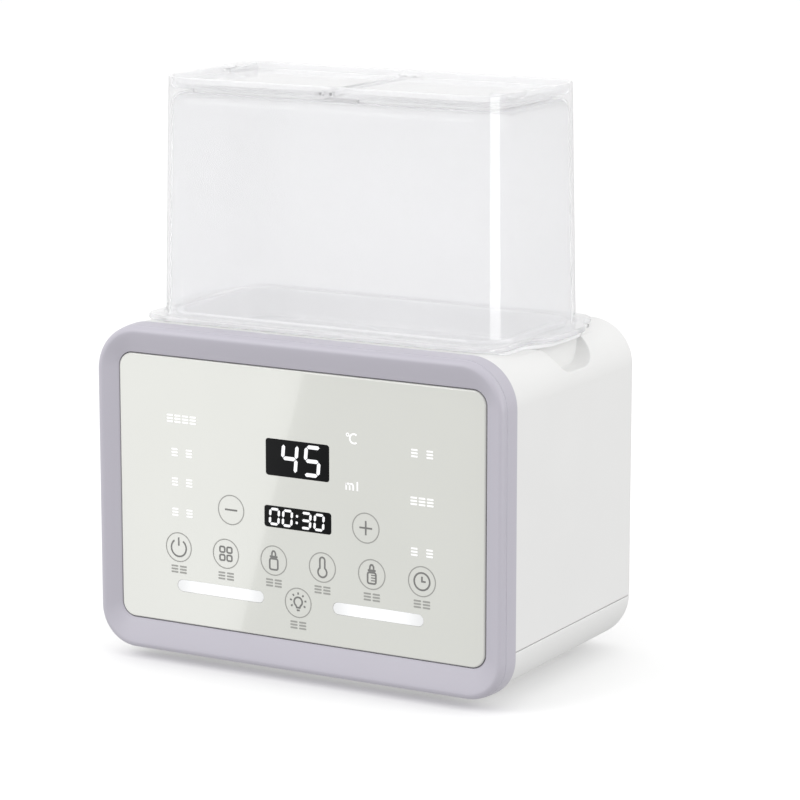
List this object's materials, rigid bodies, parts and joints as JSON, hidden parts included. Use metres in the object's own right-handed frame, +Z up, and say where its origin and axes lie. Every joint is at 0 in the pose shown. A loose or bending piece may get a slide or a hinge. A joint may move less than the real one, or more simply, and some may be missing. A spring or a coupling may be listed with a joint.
{
  "type": "double bottle warmer and steam steriliser",
  "caption": "Countertop bottle warmer and steriliser: rounded casing with a framed touch panel, lift-out basket and tall translucent lid with flip flaps.",
  "frame": {"origin": "centre of the footprint on the surface it stands on", "axes": "+Z up, control panel facing -Y, +X to the right as seen from the front"},
  "size_m": [0.19, 0.12, 0.24],
  "materials": {
    "white_plastic": "fine satin, moulded",
    "lavender_plastic": "satin, moulded",
    "ivory_panel": "glossy printed sheet",
    "smoked_window": "glossy, smoked",
    "light_guide": "lit diffuser",
    "lid_plastic": "milky translucent polypropylene",
    "basket_plastic": "milky translucent polypropylene",
    "tank_plastic": "moulded polypropylene",
    "black_plastic": "moulded",
    "circuit_board": "solder mask",
    "conductive_foam": "foam",
    "silicone": "moulded silicone",
    "foot_rubber": "moulded rubber",
    "steel": "stainless",
    "cast_aluminium": "cast",
    "ribbon": "flat cable insulation"
  },
  "bodies": {
    "root": {"housing_shell": "white_plastic", "base_cover": "white_plastic", "front_bezel": "lavender_plastic", "control_panel": "ivory_panel", "temperature_window": "smoked_window", "timer_window": "smoked_window", "temperature_led_module": "black_plastic", "timer_led_module": "black_plastic", "night_light_left": "light_guide", "night_light_right": "light_guide", "night_light_leds_left": "circuit_board", "night_light_leds_right": "circuit_board", "control_board": "circuit_board", "board_carrier": "white_plastic", "buzzer": "black_plastic", "touch_pad_power": "conductive_foam", "touch_pad_function": "conductive_foam", "touch_pad_bottle_type": "conductive_foam", "touch_pad_temperature": "conductive_foam", "touch_pad_volume": "conductive_foam", "touch_pad_timer": "conductive_foam", "touch_pad_night_light": "conductive_foam", "touch_pad_minus": "conductive_foam", "touch_pad_plus": "conductive_foam", "water_tank": "tank_plastic", "tank_gasket": "silicone", "heating_plate": "steel", "plate_seal": "silicone", "heater_block": "cast_aluminium", "heater_clamp": "steel", "thermistor": "steel", "thermal_fuse": "black_plastic", "power_board": "circuit_board", "transformer": "black_plastic", "relay": "black_plastic", "capacitor": "black_plastic", "ribbon_cable": "ribbon", "inlet_socket": "black_plastic", "inlet_pin_1": "steel", "inlet_pin_2": "steel", "foot_left_front": "foot_rubber", "foot_left_rear": "foot_rubber", "foot_right_front": "foot_rubber", "foot_right_rear": "foot_rubber", "base_screw_left_front": "steel", "base_screw_left_rear": "steel", "base_screw_right_front": "steel", "base_screw_right_rear": "steel", "tank_screw_left_front": "steel", "tank_screw_left_rear": "steel", "tank_screw_right_front": "steel", "tank_screw_right_rear": "steel", "clamp_screw_left": "steel", "clamp_screw_right": "steel", "carrier_screw_left": "steel", "carrier_screw_right": "steel"},
    "basket": {"bottle_basket": "basket_plastic"},
    "lid": {"steam_lid": "lid_plastic"},
    "left_flap": {"flap_left": "lid_plastic"},
    "right_flap": {"flap_right": "lid_plastic"}
  },
  "joints": [
    {"name": "basket_lift", "type": "slide", "parent": "root", "child": "basket", "axis": [0, 0, 1], "range_m": [0, 0.1]},
    {"name": "lid_lift", "type": "slide", "parent": "basket", "child": "lid", "axis": [0, 0, 1], "range_m": [0, 0.11]},
    {"name": "left_flap_hinge", "type": "hinge", "parent": "lid", "child": "left_flap", "pos_m": [-0.0024, 0.0005, 0.2362], "axis": [0, 1, 0], "range_deg": [0, 90]},
    {"name": "right_flap_hinge", "type": "hinge", "parent": "lid", "child": "right_flap", "pos_m": [0.0024, 0.0005, 0.2362], "axis": [0, -1, 0], "range_deg": [0, 90]}
  ]
}
